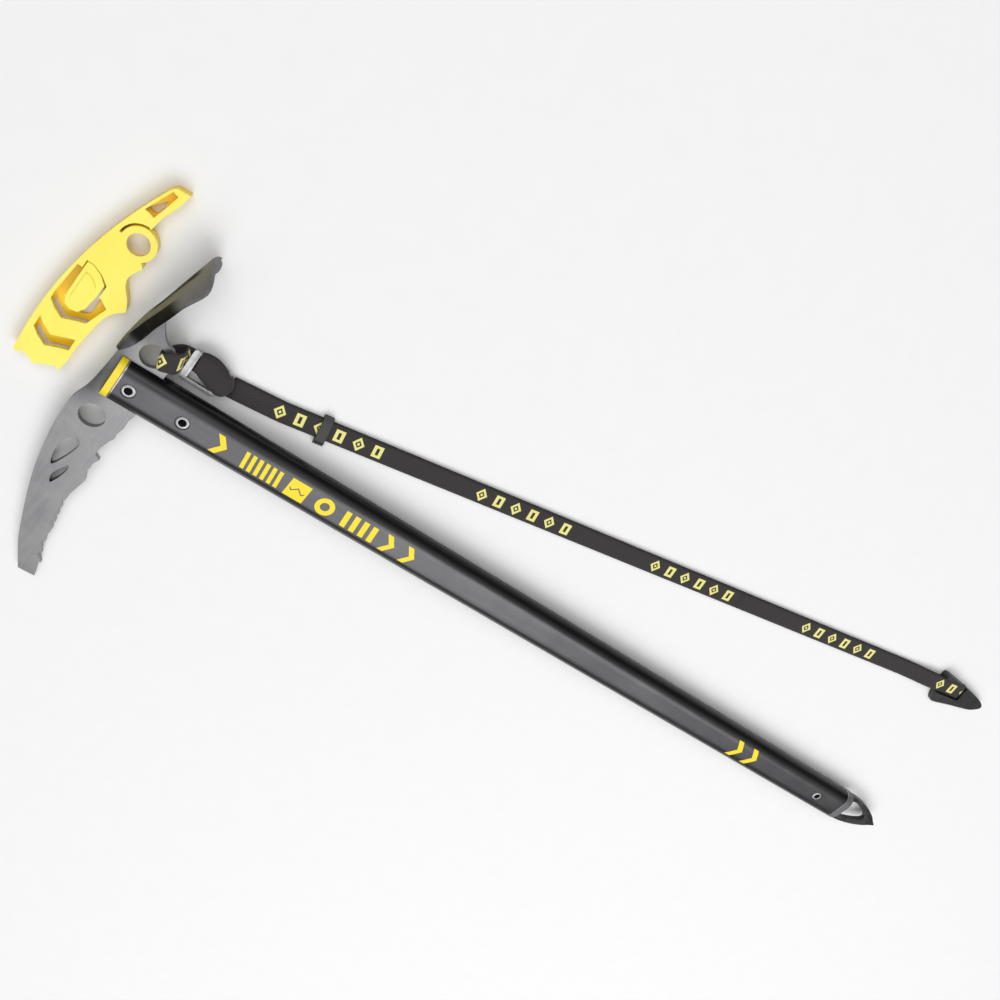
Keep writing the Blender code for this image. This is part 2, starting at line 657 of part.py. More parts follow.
def make_guard(parent, plastic):
    top = GUARD_THICKNESS
    loops = [guard_outline(), circle(RING_CENTRE, RING_BORE, 28)]
    loops.append([(759.6, -102.6), (767.4, -92.6), (761.6, -92.2), (759.4, -98)])
    guard = slab("pick_guard", loops, 0.05, top, parent)

    slit = arc(RING_CENTRE, 11.9, 270, 358, 10) + arc(RING_CENTRE, 10.4, 358, 262, 10)
    combine(guard, slab("ring_slit", [slit], -2, top + 2, parent, CUTTERS))
    combine(guard, drill("ring_hollow", *RING_CENTRE, 8.9, -1, top - 3.6, parent, 28))

    # the space for the pick, open at the wide end
    space = [(crest(y) - 2.6, y) for y in range(-64, 25, 8)]
    space += [(784.4, 30), (764.6, 30), (761.4, 4), (760, -12), (758.6, -24), (757.8, -34),
              (757.8, -46), (759.6, -57), (767, -62.4)]
    combine(guard, slab("pick_space", [space], GUARD_WALL, top - GUARD_WALL, parent, CUTTERS))

    # the upper wall opens round the latch and between the two bands
    round_latch = [(781.2, -44.5), (783.8, -22)] + band_edge(0) + [(756.4, -30), (761.6, -33.8),
                   (763.6, -33.6), (765.6, -22.6), (767.6, -19.2), (772.6, -17.6),
                   (776.4, -19.2), (778.6, -23), (776.6, -44)]
    between = [(x, y + 12.4) for x, y in reversed(band_edge(0))] + band_edge(BAND_PITCH)
    latch_bed = [(778.2, -49.3), (779, -23), (777, -18), (773, -16.6), (768, -17.6), (764.4, -23),
                 (763.0, -34), (762.6, -42), (768, -46.6), (774, -49.3)]
    arm_recess = [(crest(-93) - 1.6, -93), (crest(-110) - 1.6, -110), (756.6, -109), (758.6, -101),
                  (761.4, -91.4)]
    above = (("latch_window", round_latch, GUARD_WALL + 1), ("latch_bed", latch_bed, GUARD_WALL + 1),
             ("band_window", between, GUARD_WALL + 1), ("arm_recess", arm_recess, 3.2))
    for name, shape, depth in above:
        combine(guard, slab(name, [shape], depth, top + 2, parent, CUTTERS))

    # the lower wall opens under the latch and under each band, as the mould needs
    under_latch = [(775.4, -41), (775.8, -20), (773, -17.2), (766, -17.2), (762.2, -19.6),
                   (761.4, -31), (764, -39)]
    below = [("under_latch", under_latch)]
    for i in range(2):
        near = [(x - 1.4, y - 0.4) for x, y in band_edge(i * BAND_PITCH)]
        far = [(x, y + 7.0) for x, y in reversed(near)]
        below.append((f"under_band_{i}", near + far))
    for name, shape in below:
        combine(guard, slab(name, [shape], -2, GUARD_WALL + 1, parent, CUTTERS))
    return finish(guard, plastic)


def make_latch(parent, plastic):
    """The spring tongue that snaps into the round hole of the pick. It flexes at its root."""
    root_x, root_y = 770.6, -48.9
    hinge = bpy.data.objects.new("latch_axis", None)
    PARTS.objects.link(hinge)
    hinge.parent = parent
    hinge.location = (root_x * MM, root_y * MM, (GUARD_THICKNESS - GUARD_WALL / 2) * MM)
    outline = [(777.4, -48.9), (778.2, -24.6), (776.4, -20), (772.8, -18.4), (768.6, -19.2),
               (765.8, -23.4), (764.2, -33.8), (763.8, -41.6), (768.4, -46.2), (774, -48.9)]
    outline = [(x - root_x, y - root_y) for x, y in outline]
    low, high = -GUARD_WALL / 2, GUARD_WALL / 2
    latch = slab("guard_latch", [outline], low, high, hinge)
    pad = [(x * 0.62 + 0.4, y * 0.72 + 6) for x, y in outline]
    raised = slab("latch_pad", [pad], high - 0.4, high + 0.9, hinge)
    combine(latch, raised, "UNION")
    peg = drill("latch_peg", 2.0 - 0.6, 24.5, 2.6, low - 1.6, low + 0.4, hinge, 16)
    PARTS.objects.link(peg)
    CUTTERS.objects.unlink(peg)
    combine(latch, peg, "UNION")
    return finish(latch, plastic)


# ---------------------------------------------------------------- assembly

def main():
    global PARTS, CUTTERS
    clear_scene()
    PARTS = new_collection("ice_axe")
    CUTTERS = new_collection("cutters")

    steel = new_material("forged_steel", (0.30, 0.30, 0.31), 0.42, 1.0)
    bright = new_material("bright_steel", (0.62, 0.62, 0.63), 0.25, 1.0)
    dark_steel = new_material("dark_steel", (0.045, 0.045, 0.047), 0.45, 0.8)
    alloy = new_material("black_anodised", (0.030, 0.030, 0.032), 0.38, 0.6)
    yellow = new_material("yellow_plastic", (0.95, 0.76, 0.02), 0.45)
    guard_yellow = new_material("guard_plastic", (1.0, 0.87, 0.11), 0.4)
    grey = new_material("collar_plastic", (0.22, 0.22, 0.23), 0.5)
    webbing = new_material("webbing", (0.030, 0.024, 0.026), 0.85)
    rubber = new_material("moulded_rubber", (0.035, 0.035, 0.035), 0.6)
    thread = new_material("thread", (0.06, 0.06, 0.06), 0.8)

    floor = bpy.data.objects.new("floor_origin", None)
    PARTS.objects.link(floor)
    floor.location = (SPIKE_TIP_X * MM, SPIKE_TIP_Y * MM, 0)
    axe = bpy.data.objects.new("axe_rest", None)
    PARTS.objects.link(axe)
    axe.parent = floor
    axe.location = (0, 0, SPIKE_TIP_Z * MM)
    axe.rotation_euler = (math.radians(REST_ROLL), math.radians(REST_PITCH), 0)

    make_head(axe, steel)
    make_shaft(axe, alloy)
    make_head_plugs(axe, yellow)
    make_rivets(axe, bright)
    make_spike(axe, dark_steel)
    make_collar(axe, grey)

    make_anchor(floor, webbing)
    make_buckle(floor, bright)
    make_fold(floor, webbing)
    make_straps(floor, webbing)
    make_bar_tack(floor, thread)
    make_keeper(floor, rubber)
    make_end_cap(floor, rubber)

    make_guard(floor, guard_yellow)
    make_latch(floor, guard_yellow)


main()
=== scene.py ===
"""Looks of the ice axe, its leash and its pick guard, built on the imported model's frame."""
import math

import bmesh
import bpy
from mathutils import Matrix, Quaternion, Vector


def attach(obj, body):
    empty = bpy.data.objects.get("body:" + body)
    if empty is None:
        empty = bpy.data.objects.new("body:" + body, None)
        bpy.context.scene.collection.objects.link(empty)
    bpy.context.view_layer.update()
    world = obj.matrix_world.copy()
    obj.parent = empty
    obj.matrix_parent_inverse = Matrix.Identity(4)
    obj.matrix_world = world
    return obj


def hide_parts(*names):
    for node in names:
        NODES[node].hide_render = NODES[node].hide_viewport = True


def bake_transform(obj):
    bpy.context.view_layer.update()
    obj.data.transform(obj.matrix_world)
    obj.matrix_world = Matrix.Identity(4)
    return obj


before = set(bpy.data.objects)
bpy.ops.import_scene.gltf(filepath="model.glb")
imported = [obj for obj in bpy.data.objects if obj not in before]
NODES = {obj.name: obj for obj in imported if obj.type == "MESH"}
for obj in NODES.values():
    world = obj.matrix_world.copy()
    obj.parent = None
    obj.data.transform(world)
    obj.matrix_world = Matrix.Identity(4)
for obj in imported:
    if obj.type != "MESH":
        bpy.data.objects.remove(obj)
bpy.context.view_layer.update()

MM = 0.001

# The floor point under the spike's tip, from which the leash and the guard are measured
FLOOR_ORIGIN = Vector((-393.65, -24.1, 0)) * MM
# The axe's own frame: its origin is the spike's tip, x up the shaft, y to the pick
SPIKE_TIP = FLOOR_ORIGIN + Vector((0, 0, 9.10)) * MM
REST_TURN = (math.radians(-4.133), math.radians(-0.379), 0)

# The strap's route on the floor, in millimetres from that point
STRAP_START = (675.0, -27.1)
STRAP_BEND = (640.0, -31.2)
STRAP_END = (54.0, -143.7)
STRAP_RISE_FROM = 118.0
STRAP_RISE = 2.6
WEB_WIDTH = 14.0
WEB_THICKNESS = 1.4
WEB_CLEARANCE = 0.3
TACK_X = 283.0

# Where the yellow marks are printed along the shaft, in millimetres from the spike's tip
SMALL_CHEVRONS = (657.8, 531.8, 515.2)
LARGE_CHEVRONS = (182.0, 164.2)
SQUARE_MARK = 607.4
RING_MARK = 586.6


# ---------------------------------------------------------------- camera, floor and lights

def place_camera():
    """Looks down on the axe from beyond its adze, with the head at the far left."""
    eye = Vector((0.3572, -0.2918, 0.5597))
    aim = Vector((0.0931, -0.0849, 0.0))
    roll = math.radians(165.57)
    lens = bpy.data.cameras.new("camera")
    lens.sensor_width = 36.0
    lens.lens = 34.41
    lens.clip_start = 0.01
    lens.clip_end = 20
    camera = bpy.data.objects.new("camera", lens)
    bpy.context.scene.collection.objects.link(camera)
    camera.location = eye
    camera.rotation_mode = "QUATERNION"
    camera.rotation_quaternion = (aim - eye).to_track_quat("-Z", "Y") @ Quaternion((0, 0, 1), roll)
    bpy.context.scene.camera = camera


def softbox(name, at, aim, size, power):
    lamp = bpy.data.lights.new(name, "AREA")
    lamp.shape = "RECTANGLE"
    lamp.size, lamp.size_y = size
    lamp.energy = power
    item = bpy.data.objects.new(name, lamp)
    bpy.context.scene.collection.objects.link(item)
    item.location = at
    item.rotation_euler = (Vector(aim) - Vector(at)).to_track_quat("-Z", "Y").to_euler()


def build_studio():
    bpy.context.scene.view_settings.view_transform = "Standard"
    softbox("overhead", (-0.6, 0.75, 1.7), (0, 0, 0), (2.2, 1.6), 24)
    softbox("side_fill", (0.9, -1.2, 1.9), (0, 0, 0), (1.4, 1.4), 14)

    world = bpy.data.worlds.new("studio")
    bpy.context.scene.world = world
    world.use_nodes = True
    tree = world.node_tree
    back = tree.nodes["Background"]
    where = tree.nodes.new("ShaderNodeTexCoord")
    split = tree.nodes.new("ShaderNodeSeparateXYZ")
    ramp = tree.nodes.new("ShaderNodeValToRGB")
    tree.links.new(where.outputs["Generated"], split.inputs[0])
    tree.links.new(split.outputs["Z"], ramp.inputs[0])
    ramp.color_ramp.elements[0].position = 0.35
    ramp.color_ramp.elements[0].color = (0.16, 0.16, 0.17, 1)
    ramp.color_ramp.elements[1].position = 0.8
    ramp.color_ramp.elements[1].color = (1, 1, 1, 1)
    tree.links.new(ramp.outputs[0], back.inputs["Color"])
    back.inputs["Strength"].default_value = 0.62

    bpy.ops.mesh.primitive_plane_add(size=12, location=(0, 0, -0.0002))
    floor = bpy.context.object
    floor.name = "floor"
    look = Look("floor_paper")
    grain = look.noise(look.where(), 60)
    look.set("Base Color", look.blend(grain, (0.90, 0.90, 0.90), (0.93, 0.93, 0.93)))
    look.shader.inputs["Roughness"].default_value = 0.9
    floor.data.materials.append(look.material)


# ---------------------------------------------------------------- materials

class Look:
    """A node-based material, with short ways to add the nodes that these surfaces need."""

    def __init__(self, name):
        self.material = bpy.data.materials.new(name)
        self.material.use_nodes = True
        self.tree = self.material.node_tree
        self.shader = self.tree.nodes["Principled BSDF"]

    def node(self, kind, *inputs, **settings):
        made = self.tree.nodes.new(kind)
        for key, value in settings.items():
            setattr(made, key, value)
        for socket, value in zip(made.inputs, inputs):
            self.feed(socket, value)
        return made

    def feed(self, socket, value):
        if value is None:
            return
        if isinstance(value, bpy.types.NodeSocket):
            self.tree.links.new(value, socket)
        elif isinstance(value, tuple) and len(value) == 3 and socket.type == "RGBA":
            socket.default_value = (*value, 1)
        else:
            socket.default_value = value

    def set(self, name, value):
        self.feed(self.shader.inputs[name], value)

    def where(self):
        return self.node("ShaderNodeTexCoord").outputs["Object"]

    def axe_place(self):
        """Position in the axe's own frame, in millimetres."""
        turned = self.node("ShaderNodeMapping", self.where(), vector_type="TEXTURE")
        turned.inputs["Location"].default_value = SPIKE_TIP
        turned.inputs["Rotation"].default_value = REST_TURN
        turned.inputs["Scale"].default_value = (MM, MM, MM)
        return self.split(turned.outputs[0])

    def split(self, vector):
        parts = self.node("ShaderNodeSeparateXYZ", vector)
        return parts.outputs[0], parts.outputs[1], parts.outputs[2]

    def math(self, operation, a, b=None, c=None):
        return self.node("ShaderNodeMath", a, b, c, operation=operation).outputs[0]

    def both(self, *masks):
        result = masks[0]
        for mask in masks[1:]:
            result = self.math("MULTIPLY", result, mask)
        return result

    def either(self, *masks):
        result = masks[0]
        for mask in masks[1:]:
            result = self.math("MAXIMUM", result, mask)
        return result

    def within(self, value, centre, half):
        """1 where value is no further than half from centre."""
        return self.math("COMPARE", value, centre, half)

    def under(self, value, limit):
        return self.math("LESS_THAN", value, limit)

    def over(self, value, limit):
        return self.math("GREATER_THAN", value, limit)

    def ramp(self, value, low, high, to_low=0.0, to_high=1.0):
        made = self.node("ShaderNodeMapRange", value, low, high, to_low, to_high,
                         interpolation_type="SMOOTHSTEP")
        return made.outputs[0]

    def noise(self, vector, scale, detail=3.0, rough=0.55, stretch=None):
        if stretch:
            vector = self.node("ShaderNodeMapping", vector)
            self.feed(vector.inputs[0], self.where())
            vector.inputs["Scale"].default_value = stretch
            vector = vector.outputs[0]
        made = self.node("ShaderNodeTexNoise")
        self.feed(made.inputs["Vector"], vector)
        made.inputs["Scale"].default_value = scale
        made.inputs["Detail"].default_value = detail
        made.inputs["Roughness"].default_value = rough
        return made.outputs["Fac"]

    def blend(self, share, low, high):
        mix = self.node("ShaderNodeMix", data_type="RGBA")
        self.feed(mix.inputs[0], share)
        self.feed(mix.inputs[6], low)
        self.feed(mix.inputs[7], high)
        return mix.outputs[2]

    def bump(self, height, strength, distance):
        made = self.node("ShaderNodeBump")
        made.inputs["Strength"].default_value = strength
        made.inputs["Distance"].default_value = distance
        self.feed(made.inputs["Height"], height)
        self.set("Normal", made.outputs[0])


def chevron(look, along, across, nose, size=1.0):
    """An arrowhead pointing down the shaft, with its nose at the given place."""
    back = look.math("ABSOLUTE", across)
    edge = look.math("MULTIPLY_ADD", back, 0.72, nose)
    arm = 4.4 * size
    ahead = look.math("SUBTRACT", along, edge)
    inner = look.under(look.math("ABSOLUTE", look.math("SUBTRACT", ahead, arm / 2)), arm / 2)
    return look.both(inner, look.under(back, 7.0 * size))


def bars(look, along, across, start, end, count, height, slant=0.12):
    """A row of slanted upright bars, printed where lettering would be."""
    pitch = (end - start) / count
    leaning = look.math("MULTIPLY_ADD", across, slant, along)
    local = look.math("FRACT", look.math("DIVIDE", look.math("SUBTRACT", leaning, start), pitch))
    stripe = look.under(look.math("ABSOLUTE", look.math("SUBTRACT", local, 0.5)), 0.28)
    span = look.within(leaning, (start + end) / 2, (end - start) / 2)
    tall = look.under(look.math("ABSOLUTE", across), height / 2)
    return look.both(stripe, span, tall)


def anodised_look():
    """Black anodised tube with its yellow print, and a painted dark reflection along its adze-side
    flank.
    """
    look = Look("black_anodised")
    x, y, z = look.axe_place()
    marks = [chevron(look, x, y, nose) for nose in SMALL_CHEVRONS]
    marks += [chevron(look, x, y, nose, 1.25) for nose in LARGE_CHEVRONS]
    marks.append(bars(look, x, y, 619.0, 647.5, 6, 12.4))
    marks.append(bars(look, x, y, 546.0, 574.0, 4, 12.4))
    square = look.both(look.within(x, SQUARE_MARK, 7.0), look.under(look.math("ABSOLUTE", y), 6.9))
    from_end = look.math("SUBTRACT", x, SQUARE_MARK - 7.4)
    ridge = look.math("MULTIPLY_ADD", look.math("PINGPONG", from_end, 3.7), 0.9, -1.6)
    line = look.under(look.math("ABSOLUTE", look.math("SUBTRACT", y, ridge)), 0.55)
    ridge_line = look.both(line, look.within(x, SQUARE_MARK, 5.4))
    marks.append(look.math("SUBTRACT", square, ridge_line))
    from_ring = look.math("POWER", look.math("SUBTRACT", x, RING_MARK), 2)
    radius = look.math("SQRT", look.math("ADD", from_ring, look.math("POWER", y, 2)))
    marks.append(look.both(look.under(radius, 6.6), look.over(radius, 3.2)))
    top = look.over(z, 0.0)
    printed = look.both(look.either(*marks), top)

    fine = look.noise(None, 900, 4, 0.6, stretch=(0.05, 1, 1))
    wide = look.noise(look.where(), 22, 4)
    wear = look.ramp(wide, 0.35, 0.75)
    edge = look.either(look.under(x, 55.6), look.over(x, 730.4))
    shade = look.blend(wear, (0.075, 0.075, 0.078), (0.095, 0.095, 0.098))
    # painted dark reflection: the colour goes near black along the adze-side flank
    flank_dark_reflection = look.ramp(y, -13.5, -8.0, 0.8, 0.0)
    shade = look.blend(flank_dark_reflection, shade, (0.012, 0.012, 0.013))
    shade = look.blend(edge, shade, (0.42, 0.42, 0.43))
    look.set("Base Color", look.blend(printed, shade, (1.0, 0.76, 0.0)))
    look.set("Metallic", look.math("SUBTRACT", 0.92, look.math("MULTIPLY", printed, 0.92)))
    rough = look.ramp(fine, 0.3, 0.7, 0.27, 0.36)
    look.set("Roughness", look.math("MULTIPLY_ADD", printed, 0.15, rough))
    look.bump(look.math("ADD", fine, look.math("MULTIPLY", printed, 2.0)), 0.25, 0.00003)
    return look.material


def forged_look():
    """Forged and ground steel: satin, with painted dark reflections near the shaft and along the
    adze, and fine grinding lines.
    """
    look = Look("forged_steel")
    x, y, z = look.axe_place()
    grind = look.noise(None, 500, 5, 0.65, stretch=(1, 0.08, 1))
    cloud = look.noise(look.where(), 45, 5, 0.6)
    speck = look.noise(look.where(), 1500, 2, 0.5)
    # painted dark reflection: darker near the shaft and at the spine, broken up by noise
    near_shaft = look.ramp(look.math("ABSOLUTE", y), 12, 34, 1, 0)
    near_spine = look.ramp(x, 726, 744, 0, 1)
    scale = look.both(near_shaft, near_spine)
    scale = look.math("MULTIPLY", scale, look.ramp(cloud, 0.2, 0.7, 0.55, 1.0))
    metal = look.blend(look.ramp(cloud, 0.3, 0.75), (0.20, 0.20, 0.205), (0.29, 0.29, 0.295))
    metal = look.blend(look.math("MULTIPLY", look.ramp(grind, 0.35, 0.75), 0.4), metal,
                       (0.38, 0.38, 0.385))
    metal = look.blend(scale, metal, (0.055, 0.055, 0.058))
    # painted dark reflection in bands along the adze's crest and its upper edge
    rise = look.math("DIVIDE", z, look.math("MULTIPLY_ADD", y, -0.28, -5.2))
    crest_dark_reflection = look.both(look.ramp(look.math("ABSOLUTE", look.math("SUBTRACT", rise, 0.12)),
                                0.10, 0.26, 1, 0),
                      look.ramp(look.math("ABSOLUTE", look.math("ADD", y, 68.0)), 14, 22, 1, 0))
    edge = look.both(look.ramp(rise, 0.72, 0.86), look.ramp(y, -72, -60),
                     look.ramp(y, -26, -32))
    painted_dark_bands = look.math("MULTIPLY", look.either(crest_dark_reflection, edge), look.ramp(cloud, 0.25, 0.5, 0.7, 1))
    metal = look.blend(painted_dark_bands, metal, (0.02, 0.02, 0.021))
    pits = look.ramp(speck, 0.66, 0.74, 0, 0.35)
    look.set("Base Color", look.blend(pits, metal, (0.10, 0.10, 0.105)))
    look.shader.inputs["Metallic"].default_value = 1.0
    satin = look.ramp(look.math("ADD", grind, cloud), 0.6, 1.4, 0.36, 0.52)
    look.set("Roughness", look.math("ADD", satin, look.ramp(y, -24, -34, 0.0, 0.18)))
    look.bump(look.math("ADD", grind, speck), 0.35, 0.00004)
    return look.material


def dark_steel_look():
    look = Look("dark_steel")
    cloud = look.noise(look.where(), 120, 4, 0.6)
    scratch = look.noise(None, 700, 4, 0.6, stretch=(0.06, 1, 1))
    metal = look.blend(look.ramp(cloud, 0.35, 0.7), (0.035, 0.035, 0.037), (0.085, 0.085, 0.088))
    look.set("Base Color", look.blend(look.ramp(scratch, 0.62, 0.72, 0, 0.5), metal,
                                      (0.25, 0.25, 0.255)))
    look.shader.inputs["Metallic"].default_value = 0.85
    look.set("Roughness", look.ramp(cloud, 0.3, 0.7, 0.32, 0.48))
    look.bump(scratch, 0.3, 0.00004)
    return look.material


def bright_steel_look():
    look = Look("bright_steel")
    brushed = look.noise(None, 900, 4, 0.6, stretch=(1, 0.07, 1))
    cloud = look.noise(look.where(), 150, 4)
    look.set("Base Color", look.blend(look.ramp(cloud, 0.35, 0.7), (0.30, 0.30, 0.31),
                                      (0.44, 0.44, 0.45)))
    look.shader.inputs["Metallic"].default_value = 1.0
    look.set("Roughness", look.ramp(brushed, 0.3, 0.7, 0.30, 0.46))
    look.bump(brushed, 0.25, 0.00003)
    return look.material


def plastic_look(name, low, high, roughness=(0.30, 0.42)):
    """Moulded plastic with a fine spark-eroded grain."""
    look = Look(name)
    cloud = look.noise(look.where(), 35, 3)
    fine = look.noise(look.where(), 1400, 2, 0.5)
    look.set("Base Color", look.blend(look.ramp(cloud, 0.3, 0.7), low, high))
    look.set("Roughness", look.ramp(look.math("ADD", cloud, fine), 0.7, 1.3, *roughness))
    look.bump(fine, 0.22, 0.00005)
    return look.material


def webbing_look(name, motif=True):
    """Woven tape. Its UV map holds metres along the tape and metres from its middle."""
    look = Look(name)
    uv = look.node("ShaderNodeUVMap", uv_map="tape").outputs[0]
    along, across, _ = look.split(uv)
    along = look.math("MULTIPLY", along, 1000.0)
    across = look.math("MULTIPLY", across, 1000.0)
    pick = look.math("SINE", look.math("MULTIPLY", along, 2 * math.pi / 0.95))
    warp = look.math("SINE", look.math("MULTIPLY_ADD", across, 2 * math.pi / 1.15,
                                       look.math("MULTIPLY", along, 2 * math.pi / 1.9)))
    weave = look.math("MULTIPLY_ADD", pick, 0.5, look.math("MULTIPLY", warp, 0.5))
    fuzz = look.noise(look.where(), 2600, 2, 0.6)
    cloud = look.noise(look.where(), 30, 3)
    height = look.math("MULTIPLY_ADD", fuzz, 0.8, weave)
    shade = look.blend(look.ramp(height, -0.6, 1.2), (0.010, 0.008, 0.0085), (0.050, 0.041, 0.043))
    shade = look.blend(look.ramp(cloud, 0.35, 0.75, 0, 0.35), shade, (0.032, 0.027, 0.028))
    selvedge = look.over(look.math("ABSOLUTE", across), WEB_WIDTH / 2 - 0.9)
    shade = look.blend(look.math("MULTIPLY", selvedge, 0.6), shade, (0.020, 0.018, 0.018))
    if motif:
        woven = woven_motif(look, along, across)
        tone = look.blend(look.ramp(height, -0.8, 1.0), (0.74, 0.68, 0.17), (0.97, 0.92, 0.34))
        shade = look.blend(woven, shade, tone)
    look.set("Base Color", shade)
    look.shader.inputs["Roughness"].default_value = 0.82
    look.shader.inputs["Sheen Weight"].default_value = 0.08
    look.shader.inputs["Sheen Roughness"].default_value = 0.5
    look.bump(height, 0.6, 0.00016)
    return look.material


def woven_motif(look, along, across):
    """Groups of six woven figures, by turns a lozenge with a stem and a pair of blocks."""
    repeat, first, span, figures = 143.6, 26.5, 80.0, 6
    pitch = span / figures
    local = look.math("FLOORED_MODULO", look.math("SUBTRACT", along, first), repeat)
    inside = look.under(local, span)
    cell = look.math("FLOOR", look.math("DIVIDE", local, pitch))
    odd = look.math("MODULO", cell, 2.0)
    x = look.math("SUBTRACT", look.math("FLOORED_MODULO", local, pitch), pitch / 2)
    y = across
    far_x = look.math("ABSOLUTE", x)
    far_y = look.math("ABSOLUTE", y)
    rim = look.math("ADD", look.math("MULTIPLY", far_x, 1.25), far_y)
    lozenge = look.both(look.under(rim, 5.2), look.over(rim, 2.8))
    core = look.under(rim, 1.3)
    blocks = look.both(look.within(far_x, 2.1, 1.1), look.under(far_y, 4.3))
    link = look.both(look.under(far_x, 2.0), look.within(far_y, 3.4, 0.9))
    even_figure = look.either(lozenge, core)
    odd_figure = look.either(blocks, link)
    figure = look.math("ADD", look.math("MULTIPLY", odd, odd_figure),
                       look.math("MULTIPLY", look.math("SUBTRACT", 1.0, odd), even_figure))
    return look.both(figure, inside)


def guard_look():
    """Pale yellow plastic, with orange painted shade lower down and in its recesses."""
    look = Look("guard_plastic")
    _, _, z = look.split(look.where())
    fine = look.noise(look.where(), 1400, 2, 0.5)
    cloud = look.noise(look.where(), 35, 3)
    # painted shade: orange lower down and in the recesses, pale yellow on top
    painted_recess_shade = look.ramp(z, 0.0058, 0.0084)
    top = look.blend(look.ramp(cloud, 0.3, 0.7), (1.0, 0.86, 0.10), (1.0, 0.92, 0.15))
    look.set("Base Color", look.blend(painted_recess_shade, (1.0, 0.68, 0.01), top))
    look.set("Roughness", look.ramp(look.math("ADD", cloud, fine), 0.7, 1.3, 0.30, 0.42))
    look.bump(fine, 0.22, 0.00005)
    return look.material


# ---------------------------------------------------------------- CAD nodes that keep their shape

def dress(node, material, bevel=0.25, segments=2):
    """Gives a CAD node its material, with broken edges and even shading."""
    item = NODES[node]
    item.data.materials.clear()
    item.data.materials.append(material)
    for face in item.data.polygons:
        face.use_smooth = True
    weld = item.modifiers.new("weld", "WELD")
    weld.merge_threshold = 0.00001
    if bevel:
        edges = item.modifiers.new("edges", "BEVEL")
        edges.width = bevel * MM
        edges.segments = segments
        edges.limit_method = "ANGLE"
        edges.angle_limit = math.radians(38)
        edges.harden_normals = True
    even = item.modifiers.new("normals", "WEIGHTED_NORMAL")
    even.keep_sharp = True
    even.weight = 60


# ---------------------------------------------------------------- leash

def floor_point(x, y, z=0.0):
    return FLOOR_ORIGIN + Vector((x, y, z)) * MM


def strap_point(x):
    """The strap's centreline on the floor at a distance x up the axe."""
    low, high = (STRAP_BEND, STRAP_START) if x > STRAP_BEND[0] else (STRAP_END, STRAP_BEND)
    share = (x - low[0]) / (high[0] - low[0])
    return low[1] + (high[1] - low[1]) * share


def strap_height(x):
    share = min(max((STRAP_RISE_FROM - x) / (STRAP_RISE_FROM - 82.0), 0.0), 1.0)
    return STRAP_RISE * share * share * (3 - 2 * share)


def catmull(points, steps):
    ends = [points[0]] + list(points) + [points[-1]]
    result = []
    for a, b, c, d in zip(ends, ends[1:], ends[2:], ends[3:]):
        for i in range(steps):
            t = i / steps
            result.append(tuple(
                0.5 * (2 * q + (r - p) * t + (2 * p - 5 * q + 4 * r - s) * t * t
                       + (3 * q - p - 3 * r + s) * t ** 3)
                for p, q, r, s in zip(a, b, c, d)))
    return result + [tuple(points[-1])]


def tape(name, centres, halves, side, thickness, material, crown=0.0, across=10):
    """Webbing along centres, in metres, with rounded selvedges. side is its width's direction at
    each centre, or one direction for all. The UV map counts metres along and across."""
    work = bmesh.new()
    uv = work.loops.layers.uv.new("tape")
    sides = side if isinstance(side, list) else [Vector(side).normalized()] * len(centres)
    rings = []
    travelled = 0.0
    columns = [2 * k / across - 1 for k in range(across + 1)]
    for i, centre in enumerate(centres):
        if i:
            travelled += (centre - centres[i - 1]).length
        before = centres[max(i - 1, 0)]
        after = centres[min(i + 1, len(centres) - 1)]
        heading = (after - before).normalized()
        up = sides[i].cross(heading).normalized()
        if not i:
            flip = -1 if up.z < 0 else 1
        up = up * flip
        half = halves[i] if isinstance(halves, list) else halves
        ring = []
        for layer in (1, -1):
            for u in (columns if layer == 1 else reversed(columns)):
                edge = math.sqrt(max(1 - max(abs(u) - 0.86, 0) ** 2 / 0.14 ** 2, 0.12))
                lift = crown * (1 - u * u) + layer * thickness / 2 * edge
                place = centre + sides[i] * (half * u) + up * lift
                ring.append((work.verts.new(place), travelled, half * u))
        rings.append(ring)
    count = len(rings[0])
    for low, high in zip(rings, rings[1:]):
        for k in range(count):
            corners = (low[k], low[(k + 1) % count], high[(k + 1) % count], high[k])
            face = work.faces.new([c[0] for c in corners])
            face.smooth = True
            for loop, corner in zip(face.loops, corners):
                loop[uv].uv = (corner[1], corner[2])
    for ring, turn in ((rings[0], 1), (rings[-1], -1)):
        cap = work.faces.new([c[0] for c in ring][::turn])
        for loop in cap.loops:
            loop[uv].uv = (0.001, 0.006)
    bmesh.ops.recalc_face_normals(work, faces=work.faces)
    shape = bpy.data.meshes.new(name)
    work.to_mesh(shape)
    work.free()
    shape.materials.append(material)
    item = bpy.data.objects.new(name, shape)
    bpy.context.scene.collection.objects.link(item)
    return item


def strap_stops():
    """Distances up the axe at which the strap gets a cross-section, from the slide to the cap."""
    step = 6.0
    stops = []
    x = STRAP_START[0]
    while x > STRAP_END[0]:
        stops.append(x)
        x -= step
    return stops + [STRAP_END[0]]


def build_straps(webbing):
    """The two layers of the strap."""
    made = []
    for name, layer in (("strap_upper", 1), ("strap_lower", 0)):
        middle = 0.1 + WEB_THICKNESS / 2 + layer * (WEB_THICKNESS + WEB_CLEARANCE)
        centres = [floor_point(x, strap_point(x), middle + strap_height(x)) for x in strap_stops()]
        sides = []
        for i in range(len(centres)):
            way = centres[min(i + 1, len(centres) - 1)] - centres[max(i - 1, 0)]
            sides.append(Vector((way.y, -way.x, 0)).normalized())
        strap = tape(name, centres, WEB_WIDTH / 2 * MM, sides, WEB_THICKNESS * MM, webbing)
        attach(strap, "leash")
        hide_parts("leash_" + name)
        made.append((strap, centres))
    return made


